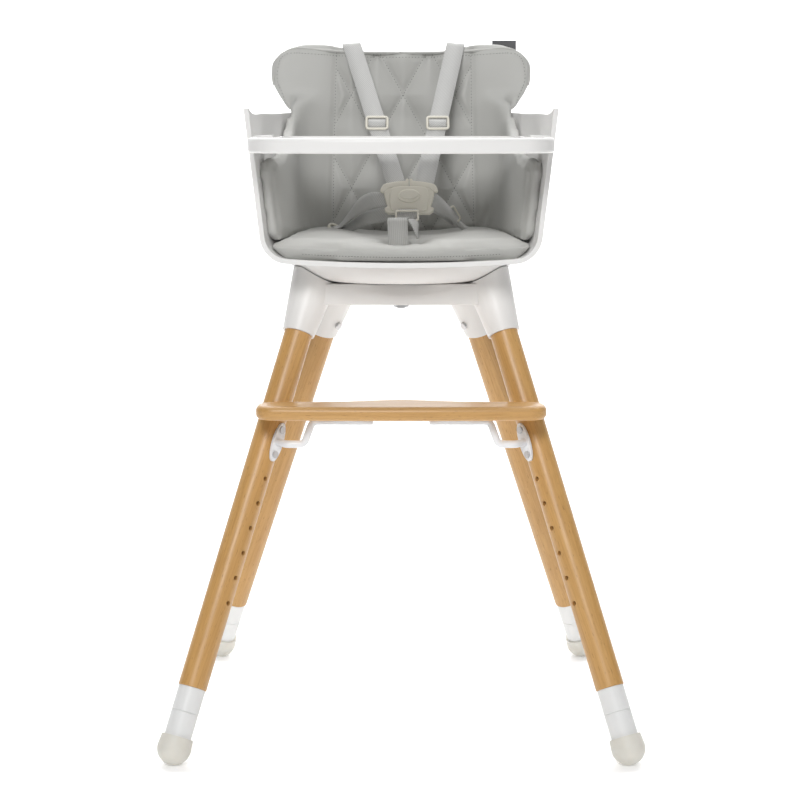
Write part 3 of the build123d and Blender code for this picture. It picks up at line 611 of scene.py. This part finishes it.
def stitch_row(build, tree, line, pitch=0.0042, length=0.0022):
    """Small thread stitches along a line of (x, z) points, dropped on to a surface from in front."""
    path = smooth_path([(x, 0, z) for x, z in line], pitch)
    hits = [dropped(tree, p.x, p.z) for p in path]
    for one, two in zip(hits, hits[1:]):
        if not one or not two or (two[0] - one[0]).length > 3 * pitch:
            continue
        along = (two[0] - one[0]).normalized()
        out = (one[1] + two[1]).normalized()
        across = along.cross(out).normalized()
        turn = Matrix((along, across, across.cross(along) * -1)).transposed().to_4x4()
        size = Matrix.Diagonal((length / 2, THREAD_HALF, THREAD_HALF, 1))
        spot = Matrix.Translation((one[0] + two[0]) / 2) @ turn @ size
        bmesh.ops.create_icosphere(build, subdivisions=1, radius=1.0, matrix=spot)


def inset_outline(distance, side):
    """The head's outline on one side, drawn inwards, in metres."""
    points = [Vector((x, z)) for x, z in HEAD_OUTLINE]
    moved = []
    for i, point in enumerate(points):
        run = (points[min(i + 1, len(points) - 1)] - points[max(i - 1, 0)]).normalized()
        inward = Vector((run.y, -run.x))
        moved.append(point + inward * distance)
    return [(side * p.x * MM, p.y * MM) for p in moved]


def make_stitching(back, pad, thread, fabric):
    """The stitches along every seam, and the soft welt round the backrest's edge."""
    graph = bpy.context.evaluated_depsgraph_get()
    back_tree = BVHTree.FromObject(back, graph)
    pad_tree = BVHTree.FromObject(pad, graph)
    build = bmesh.new()
    for line in (PANEL_LEFT, PANEL_RIGHT, *quilt_lines()):
        stitch_row(build, back_tree, line)
    for side in (-1, 1):
        stitch_row(build, back_tree, inset_outline(STITCH_INSET, side))
        welt = []
        for x, z in inset_outline(WELT_INSET, side):
            hit = dropped(back_tree, x, z)
            if hit:
                welt.append(hit[0] + Vector((0, WELT_SINK, 0)))
        if len(welt) > 3:
            name = f"welt_{'left' if side < 0 else 'right'}"
            piece = tube(name, smooth_path(welt, 0.004), fabric, WELT_HALF)
            held(piece, "seat", "cushion_grey")
    back_threads = finished("back_stitches", build, thread)
    held(back_threads, "seat", "cushion_grey")
    build = bmesh.new()
    reach = np.linspace(-PAD_STITCH_REACH, PAD_STITCH_REACH, 14)
    front = [(x, PAD_STITCH_HEIGHT + x * x / PAD_STITCH_BOW) for x in reach]
    stitch_row(build, pad_tree, front)
    if len(build.verts):
        held(finished("pad_stitches", build, thread), "seat", "cushion_grey")


def make_back_cushion(fabric):
    """The padded back and sides in one piece, quilted in diamonds down the middle."""
    mesh = soft_form("back_cushion", 0.005, 0.0006, 0.0035, 6)
    points, normals = read_points(mesh)
    reach = np.abs(points[:, 0])
    taper = np.clip((WAIST_TOP - points[:, 2]) / WAIST_FADE, 0, 1) * (points[:, 2] > WAIST_LOW)
    drawn = WAIST_REACH + (reach - WAIST_REACH) * (1 - WAIST_DRAW * taper ** 2)
    reach = np.where(reach > WAIST_REACH, drawn, reach)
    points[:, 0] = np.sign(points[:, 0]) * reach
    flat = points[:, [0, 2]]
    left = panel_edge(PANEL_LEFT, flat[:, 1])
    right = panel_edge(PANEL_RIGHT, flat[:, 1])
    front = np.clip((-normals[:, 1] - 0.25) / 0.4, 0, 1)
    middle = ((flat[:, 0] > left - 0.001) & (flat[:, 0] < right + 0.001)).astype(float)
    to_quilt = near_lines(flat, quilt_lines())
    to_seam = near_lines(flat, [PANEL_LEFT, PANEL_RIGHT])
    nearest = np.minimum(to_seam, np.where(middle > 0, to_quilt, 1.0))
    channel = -GROOVE[0] * np.exp(-(nearest / GROOVE[1]) ** 2) - PULL[0] * np.exp(-(nearest / PULL[1]) ** 2)
    swell = PUFF[0] * (1 - np.exp(-(nearest / PUFF[1]) ** 2)) * middle
    write_points(mesh, points + normals * ((channel + swell) * front)[:, None])
    piece = add_object("back_cushion_cover", mesh, fabric)
    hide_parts("back_cushion")
    return piece


def make_seat_cushion(fabric):
    """The seat pad: a soft front lip, thighs' hollows and a dip where the crotch strap comes up."""
    mesh = soft_form("seat_cushion", 0.005, 0.0004, 0.004, 5)
    points, normals = read_points(mesh)
    x, y, z = points.T
    up = np.clip(normals[:, 2] * 1.5, 0, 1)
    lobes = 0.007 * np.exp(-(((np.abs(x) - 0.105) / 0.055) ** 2)) * np.clip((y + 0.16) / 0.12, 0, 1)
    dip = -0.007 * np.exp(-((x - 0.004) / 0.032) ** 2 - ((y + 0.10) / 0.035) ** 2)
    lip = -0.010 * np.clip((-0.118 - y) / 0.04, 0, 1) ** 1.5
    z = z + (lobes + dip + lip) * up
    write_points(mesh, np.stack((x, y, z), axis=1))
    piece = add_object("seat_cushion_cover", mesh, fabric)
    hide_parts("seat_cushion")
    return piece


# ---- harness -------------------------------------------------------------------------------------
WEB_HALF = 12.5
OVER_TILT = {"left": 0.10, "right": -0.10}
STRAP_TOP = {"left": (-68, 91, 906.5), "right": (75, 91, 906.5)}
STRAP_END = {"left": (-6, -47, 718), "right": (30, -47, 718)}
BUCKLE = Place((10.5, -62, 703.5), (1, 0, 0), (0, -0.906, 0.423))
WAIST_LEFT = [
    ((-19, -54, 708), (-17, -57, 689)), ((-38, -48, 709), (-34, -50, 689)),
    ((-55, -24, 700.5), (-50, -30, 681)), ((-69, 6, 681.5), (-65, -10, 671.5)),
    ((-83, 32, 662.5), (-80, 16, 659.5)), ((-93, 46, 659), (-91, 27, 656.5)),
]
WAIST_LEFT_UNDER = [
    ((-14, -46, 690), (-14, -46, 672)), ((-33, -40, 687), (-31, -41, 668.5)),
    ((-50, -18, 681), (-48, -22, 663.5)), ((-68, 14, 667), (-66, 4, 655)),
    ((-90, 42, 656), (-88, 24, 654)),
]
WAIST_RIGHT = [
    ((43, -55, 706.5), (37, -58, 688)), ((48, -51, 706), (40, -54, 687.5)),
    ((56, -36, 698.5), (51, -38, 680.5)), ((65, -17, 688), (67, -20, 670)),
    ((75, 0, 674), (78, -4, 660)), ((86, 20, 662), (86, 10, 656)),
    ((97, 44, 656.5), (96, 28, 654.5)),
]
WAIST_RIGHT_UNDER = [
    ((40, -50, 688), (38, -44, 684)), ((54, -32, 680), (53, -24, 676)),
    ((70, -6, 666), (70, 2, 662.5)),
]
CROTCH = [
    ((-16.8, -105, 615), (8.6, -105, 615)), ((-16.4, -109, 636), (9.8, -109, 636)),
    ((-17.2, -107.5, 655), (9, -107.5, 655)), ((-17.9, -103.5, 669), (8.3, -103.5, 669)),
    ((-17.9, -99, 675), (8.1, -99, 675)), ((-16.6, -93, 677), (9, -93, 677)),
    ((-11, -86, 675), (14.5, -86, 675)), ((-5.5, -79.5, 679), (20.5, -79.5, 679)),
    ((-4.5, -74, 688), (21.5, -74, 688)),
]
CROTCH_TAIL = [
    ((8, -98, 675.5), (21.5, -84, 675)), ((13, -101, 669), (22.5, -87, 668)),
    ((18, -101, 659), (22, -91, 658)), ((20.5, -98, 651), (22, -94, 650.5)),
]


def held(piece, body, material_slot, *replaced):
    """Rides a body and stands for CAD nodes; the material slot it is given is not used."""
    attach(piece, body)
    if replaced:
        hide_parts(*replaced)
    return piece


def make_shoulder(side, cloth, beige):
    """A shoulder strap from the buckle over the backrest, with its slider and the wrap round its bar."""
    top, end = Vector(STRAP_TOP[side]), Vector(STRAP_END[side])
    run = (top - end).normalized()
    wide = (Vector((1, 0, 0)) - run * run.x).normalized() * WEB_HALF
    over = Vector((1, 0, OVER_TILT[side])).normalized() * WEB_HALF
    level = Vector((WEB_HALF, 0, 0))
    middles = [
        (end + run * 4, wide), (end.lerp(top, 0.25), wide),
        (end.lerp(top, 0.6), wide), (end.lerp(top, 0.93), wide),
        (top + Vector((0, 3, -0.4)), over), (top + Vector((0, 14, -1.0)), over),
        (top + Vector((0, 23, -4)), level), (top + Vector((0, 27, -10)), level),
        (top + Vector((0, 25, -45)), level), (top + Vector((0, 21, -86)), level),
    ]
    held(band(f"shoulder_web_{side}", [(m - w, m + w) for m, w in middles], cloth), "seat", "webbing_grey",
         f"shoulder_strap_{side}")
    centre = end.lerp(top, 0.425)
    place = Place(centre, (1, 0, 0), Vector((1, 0, 0)).cross(run))
    body = f"shoulder_adjuster_{side}"
    frame_piece = ring_frame(f"strap_slider_{side}", place, 15.8, 11.4, 3.0, 3.7, beige, 2.4)
    held(frame_piece, body, "buckle_beige", f"shoulder_adjuster_{side}")
    bar_ends = [place.at(-14, 0, 1.7), place.at(14, 0, 1.7)]
    bar = tube(f"strap_slider_bar_{side}", bar_ends, beige, 1.6 * MM, 0.8 * MM, out=place.w)
    held(bar, body, "buckle_beige")
    arc = [(-6.4, 0.4), (-5.6, 1.6), (-3.6, 3.4), (0, 4.3), (3.6, 3.4), (5.6, 1.6), (6.4, 0.4)]
    wrap = [(place.at(-11.6, v, w) / MM, place.at(11.6, v, w) / MM) for v, w in arc]
    held(band(f"strap_wrap_{side}", wrap, cloth, 1.3, 1.0 * MM), body, "webbing_grey")


def make_buckle(beige):
    """The five-point buckle: two tongues with tabs, the body, the raised front plate and the oval button."""
    left = [(-0.5, 13), (-0.5, 24.7), (-4.3, 24.7), (-4.6, 21.9), (-17, 20.6), (-29.5, 18.2), (-34, 16.3),
            (-36.4, 12.5), (-38, 8.4), (-37.6, 6.3), (-33.4, 5.4), (-30, 8), (-26, 12)]
    right = [(-u, v) for u, v in left]
    body = [(-31, 15), (-33.2, 5), (-31.3, -5), (-28.2, -14.6), (-32.2, -15.8), (-32, -20), (-27.5, -23.6),
            (0, -24.6)]
    notch = [(20, 18.4), (3, 19.6), (1.4, 14), (-1.4, 14), (-3, 19.6), (-20, 18.4)]
    body = body + [(-u, v) for u, v in reversed(body[:-1])] + notch
    front = [(-21, 12.2), (-24, 8.4), (-25.6, 0), (-25.8, -10), (-23.8, -20), (-20, -22), (0, -22.6)]
    front = front + [(-u, v) for u, v in reversed(front[:-1])] + [(10, 13.2), (-10, 13.2)]
    moulded = (
        ("buckle_body", body, -5.5, 2.6, 1.6, "buckle_back_cover"),
        ("buckle_front", front, 1.0, 4.8, 0.8, "buckle_front_cover"),
        ("buckle_wing_left", left, -2.2, 3.2, 0.8, "buckle_tongue_left"),
        ("buckle_wing_right", right, -2.2, 3.2, 0.8, "buckle_tongue_right"),
    )
    for name, outline, low, high, rounding, node in moulded:
        held(plate(name, BUCKLE, outline, low, high, rounding, beige), "seat", "buckle_beige", node)
    lip = plate("buckle_lip", BUCKLE, ellipse((0, -1.6), (14.9, 8.8)), 3.4, 6.9, 0.8, beige)
    held(lip, "seat", "buckle_beige")
    button = plate("buckle_button_dome", BUCKLE, ellipse((0, 0.5), (13.0, 7.2)), 2.0, 8.4, 1.1, beige)
    held(button, "buckle_button", "buckle_beige", "buckle_button")


def make_harness(cloth, shaded_ribbed, beige):
    """All the webbing, its sliders and anchors, and the buckle."""
    for side in ("left", "right"):
        make_shoulder(side, cloth, beige)
    make_buckle(beige)
    held(band("waist_web_left", WAIST_LEFT, cloth), "seat", "webbing_grey", "waist_strap_left")
    held(band("waist_web_left_under", WAIST_LEFT_UNDER, cloth), "seat", "webbing_grey")
    held(band("waist_web_right", WAIST_RIGHT, cloth), "seat", "webbing_grey",
         "waist_strap_right", "waist_anchor_right")
    held(band("waist_web_right_under", WAIST_RIGHT_UNDER, cloth, 1.2), "seat", "webbing_grey")
    # The crotch strap takes the darker webbing, its shade painted into the colour.
    held(band("crotch_web", CROTCH, shaded_ribbed), "seat", "webbing_grey", "crotch_strap")
    held(band("crotch_web_tail", CROTCH_TAIL, cloth, 1.3), "seat", "webbing_grey")
    crotch_place = Place((7.6, -84.5, 679.9), (1, 0, 0), (0, -0.95, 0.3))
    slider = ring_frame("crotch_frame", crotch_place, 15.8, 7.9, 2.2, 2.9, beige)
    held(slider, "seat", "buckle_beige", "crotch_slider")
    waist_place = Place((71, -9, 678), (0.42, 0.5, -0.75), (0.45, -0.85, -0.2))
    tri = ring_frame("waist_frame", waist_place, 12.8, 6.5, 3.0, 2.6, beige)
    held(tri, "seat", "buckle_beige", "waist_slider_right")
    hook_place = Place((-91.5, 37, 658), (0.8, -0.5, 0.2), (0.2, -0.6, 0.75))
    hook = ring_frame("waist_hook", hook_place, 9.0, 7.5, 5.0, 4.2, beige)
    held(hook, "seat", "buckle_beige", "waist_anchor_left")


# ---- everything together -------------------------------------------------------------------------
def finish_nodes(looks):
    """Gives every CAD node the material of its own name, or else of its slot."""
    for node, piece in nodes.items():
        slot = next(s["material_slot"] for s in frame["record"]["subparts"] if s["node"] == node)
        material = looks.get(node, looks.get(slot))
        piece.data.materials.clear()
        piece.data.materials.append(material)


# The rear legs are the same beech made darker by this factor: painted shade, a shaded copy of the front legs'
# wood.
REAR_LEG_PAINTED_SHADE = 0.92
make_camera()
make_studio()
LOOKS = {
    "shell_white": moulded_plastic("shell_white", (0.78, 0.775, 0.765), 0.34),
    "base_white": moulded_plastic("base_white", (0.79, 0.78, 0.765), 0.38),
    "leg_end_white": moulded_plastic("leg_end_white", (0.77, 0.775, 0.77), 0.36),
    "beech": beech("beech_board", (1, 0, 0)),
    "foot_silicone": silicone("foot_silicone"),
    "steel": metal("steel", (0.62, 0.62, 0.63), 0.3),
    "insert_brass": metal("insert_brass", (0.72, 0.55, 0.27), 0.3),
    "buckle_beige": moulded_plastic("buckle_beige", (0.68, 0.655, 0.575), 0.42),
    "bracket_white": moulded_plastic("bracket_white", (0.80, 0.81, 0.83), 0.3),
    "glide_plastic": moulded_plastic("glide_plastic", (0.1, 0.1, 0.1), 0.4),
    "tag_grey": webbing_cloth("tag_grey", (0.20, 0.20, 0.205), (0.11, 0.11, 0.115), 0.0009),
    "webbing_grey": webbing_cloth("webbing_grey", (0.68, 0.68, 0.665), (0.45, 0.45, 0.44)),
    "cushion_grey": coated_fabric("cushion_grey"),
}
for node in nodes:
    if node.startswith("leg_front") or node.startswith("leg_rear"):
        low, high = (Vector(v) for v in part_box(node))
        across = high - low
        outward = -1 if (low + high).x < 0 else 1
        forward = -1 if "front" in node else 1
        along = (-outward * across.x, -forward * across.y, across.z)
        LOOKS[node] = beech(f"beech_{node}", along, 1.0 if forward < 0 else REAR_LEG_PAINTED_SHADE)
finish_nodes(LOOKS)
back = make_back_cushion(LOOKS["cushion_grey"])
pad = make_seat_cushion(LOOKS["cushion_grey"])
for cushion in (back, pad):
    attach(cushion, "seat")

thread = plain_material("thread", (0.16, 0.165, 0.155), 0.7)
make_stitching(back, pad, thread, LOOKS["cushion_grey"])
# The crotch strap's webbing has straight ribs and colours darker than webbing_grey's. The darkness is painted
# shade, where the strap hangs under the tray.
shaded_crotch_cloth = webbing_cloth("webbing_ribbed_shaded", (0.56, 0.56, 0.54), (0.40, 0.40, 0.385), 0.0024, 0)
make_harness(LOOKS["webbing_grey"], shaded_crotch_cloth, LOOKS["buckle_beige"])
